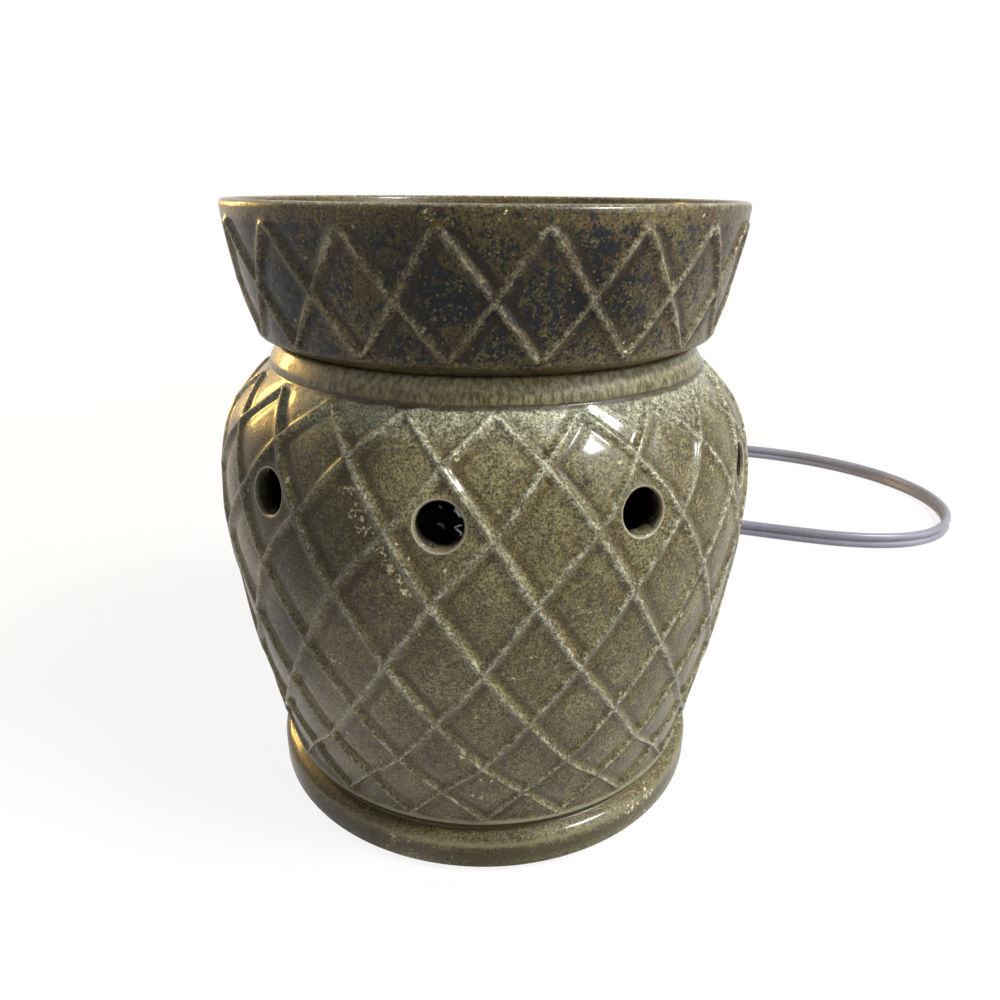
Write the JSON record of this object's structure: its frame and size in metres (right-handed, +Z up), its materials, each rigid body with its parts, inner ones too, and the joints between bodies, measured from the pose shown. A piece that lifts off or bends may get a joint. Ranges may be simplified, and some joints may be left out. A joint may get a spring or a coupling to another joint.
{
  "type": "wax melt warmer",
  "caption": "Glazed stoneware wax melt warmer: lift-off dish on a pierced lattice-relief body with a lamp inside, flat twin cord with thumbwheel switch and plug.",
  "frame": {"origin": "centre of the footprint at the level of the table, on the axis of the round body, measured without the cord", "axes": "+Z up along the body's axis, -Y towards the front of the picture, the cord leaves at the back towards +Y"},
  "size_m": [0.3241, 0.3504, 0.155],
  "materials": {
    "body_glaze": "satin to gloss olive-brown stoneware glaze with pale celadon ridges",
    "dish_glaze": "satin to gloss olive-brown stoneware glaze with blue-black patches",
    "base_steel": "white powder coat",
    "screw_steel": "zinc plated",
    "feet_rubber": "matte black",
    "holder_plastic": "dark heat-proof moulding",
    "shell_metal": "bright thin sheet",
    "contact_brass": "plain brass",
    "lamp_insulation": "black glass",
    "lamp_clear_glass": "clear",
    "lamp_wire": "drawn nickel and tungsten wire",
    "cord_plastic": "silver-grey flexible plastic",
    "sleeve_plastic": "satin grey",
    "switch_plastic": "fine-textured grey",
    "wheel_plastic": "dark grey",
    "axle_steel": "plain",
    "plug_plastic": "satin grey moulding",
    "tie_plastic": "black coated wire tie"
  },
  "bodies": {
    "warmer": {"warmer_body": "body_glaze", "base_plate": "base_steel", "base_plate_screws": "screw_steel", "base_plate_nuts": "screw_steel", "rubber_feet": "feet_rubber", "threaded_rod": "screw_steel", "rod_nuts": "screw_steel", "lampholder": "holder_plastic", "screw_shell": "shell_metal", "centre_contact": "contact_brass", "terminal_screws": "screw_steel", "lead_left": "cord_plastic", "lead_right": "cord_plastic", "cord_sleeve": "sleeve_plastic", "cord_near": "cord_plastic", "cord_far": "cord_plastic", "cord_coil": "cord_plastic", "cord_end": "cord_plastic", "coil_tie": "tie_plastic", "switch_base": "switch_plastic", "switch_cover": "switch_plastic", "switch_screws": "screw_steel", "switch_contacts": "contact_brass", "switch_axle": "axle_steel", "plug_body": "plug_plastic", "plug_blades": "contact_brass"},
    "dish": {"wax_dish": "dish_glaze"},
    "lamp_travel": {"lamp_tip": "contact_brass"},
    "lamp": {"lamp_insulator": "lamp_insulation", "lamp_cap": "shell_metal", "lamp_glass": "lamp_clear_glass", "lamp_stem": "lamp_clear_glass", "lamp_wires": "lamp_wire", "lamp_filament": "lamp_wire"},
    "thumbwheel": {"switch_wheel": "wheel_plastic"}
  },
  "joints": [
    {"name": "dish_lift", "type": "slide", "parent": "warmer", "child": "dish", "axis": [0, 0, 1], "range_m": [0, 0.06]},
    {"name": "lamp_travel", "type": "slide", "parent": "warmer", "child": "lamp_travel", "axis": [0, 0, 1], "range_m": [0, 0.0109]},
    {"name": "lamp_turn", "type": "hinge", "parent": "lamp_travel", "child": "lamp", "pos_m": [0, 0, 0.03], "axis": [0, 0, 1], "range_deg": [0, 1080]},
    {"name": "switch_turn", "type": "hinge", "parent": "warmer", "child": "thumbwheel", "pos_m": [0.076, 0.2719, 0.0066], "axis": [0, 0, 1], "continuous": true}
  ],
  "couplings": [
    {"joint": "lamp_travel", "follows": "lamp_turn", "m_per_rad": 0.0005775}
  ]
}
